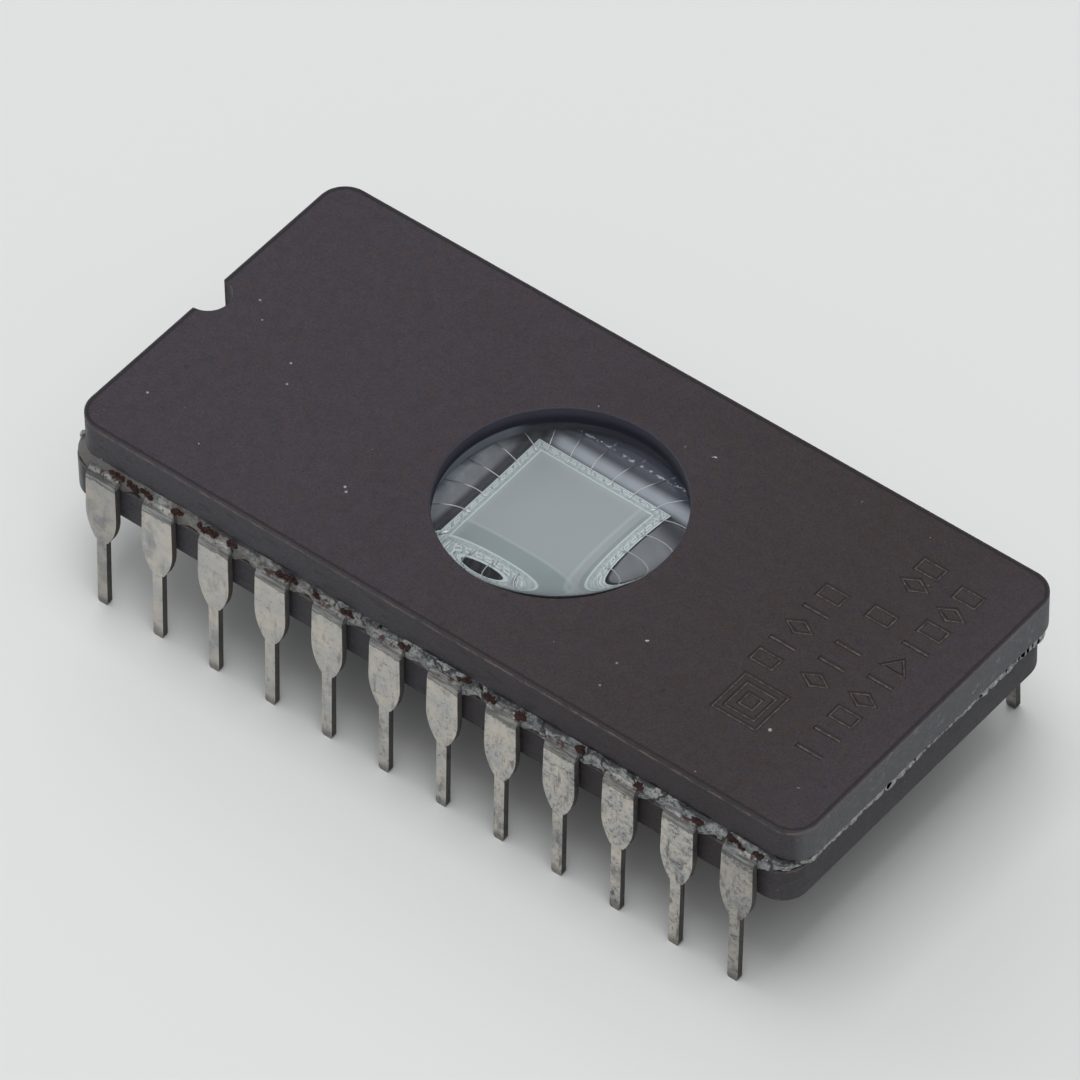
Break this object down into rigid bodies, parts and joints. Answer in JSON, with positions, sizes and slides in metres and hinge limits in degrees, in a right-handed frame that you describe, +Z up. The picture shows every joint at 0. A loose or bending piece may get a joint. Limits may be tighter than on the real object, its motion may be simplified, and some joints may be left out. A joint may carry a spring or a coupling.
{
  "type": "eprom chip",
  "caption": "Erasable memory chip in a dark ceramic dual-in-line body, with a round glass window over the die and bent flat leads along both sides.",
  "frame": {"origin": "middle of the pattern of lead tips, in the plane of the tips", "axes": "+X along the body from the end with the index notch, +Y across the body to the second row of leads, +Z up through the window"},
  "size_m": [0.0321, 0.016, 0.0081],
  "materials": {
    "ceramic": "matte dark violet-brown pressed ceramic, slightly grainy",
    "sealing_glass": "grey fused glass frit, rough and cracked at the rim",
    "window_glass": "clear, polished by melting",
    "silicon": "smooth grey-green silicon with a finely patterned border",
    "die_attach": "dull metal-filled bond",
    "lead_metal": "tin-plated iron-nickel strip, dulled, with dark specks and rust at the seal",
    "wire_metal": "bright drawn wire"
  },
  "bodies": {
    "root": {"base": "ceramic", "bond_wire_01": "wire_metal", "bond_wire_02": "wire_metal", "bond_wire_03": "wire_metal", "bond_wire_04": "wire_metal", "bond_wire_05": "wire_metal", "bond_wire_06": "wire_metal", "bond_wire_07": "wire_metal", "bond_wire_08": "wire_metal", "bond_wire_09": "wire_metal", "bond_wire_10": "wire_metal", "bond_wire_11": "wire_metal", "bond_wire_12": "wire_metal", "bond_wire_13": "wire_metal", "bond_wire_14": "wire_metal", "bond_wire_15": "wire_metal", "bond_wire_16": "wire_metal", "bond_wire_17": "wire_metal", "bond_wire_18": "wire_metal", "bond_wire_19": "wire_metal", "bond_wire_20": "wire_metal", "bond_wire_21": "wire_metal", "bond_wire_22": "wire_metal", "bond_wire_23": "wire_metal", "bond_wire_24": "wire_metal", "cap": "ceramic", "die": "silicon", "die_attach": "die_attach", "lead_01": "lead_metal", "lead_02": "lead_metal", "lead_03": "lead_metal", "lead_04": "lead_metal", "lead_05": "lead_metal", "lead_06": "lead_metal", "lead_07": "lead_metal", "lead_08": "lead_metal", "lead_09": "lead_metal", "lead_10": "lead_metal", "lead_11": "lead_metal", "lead_12": "lead_metal", "lead_13": "lead_metal", "lead_14": "lead_metal", "lead_15": "lead_metal", "lead_16": "lead_metal", "lead_17": "lead_metal", "lead_18": "lead_metal", "lead_19": "lead_metal", "lead_20": "lead_metal", "lead_21": "lead_metal", "lead_22": "lead_metal", "lead_23": "lead_metal", "lead_24": "lead_metal", "seal_glass": "sealing_glass", "window": "window_glass"}
  },
  "joints": []
}
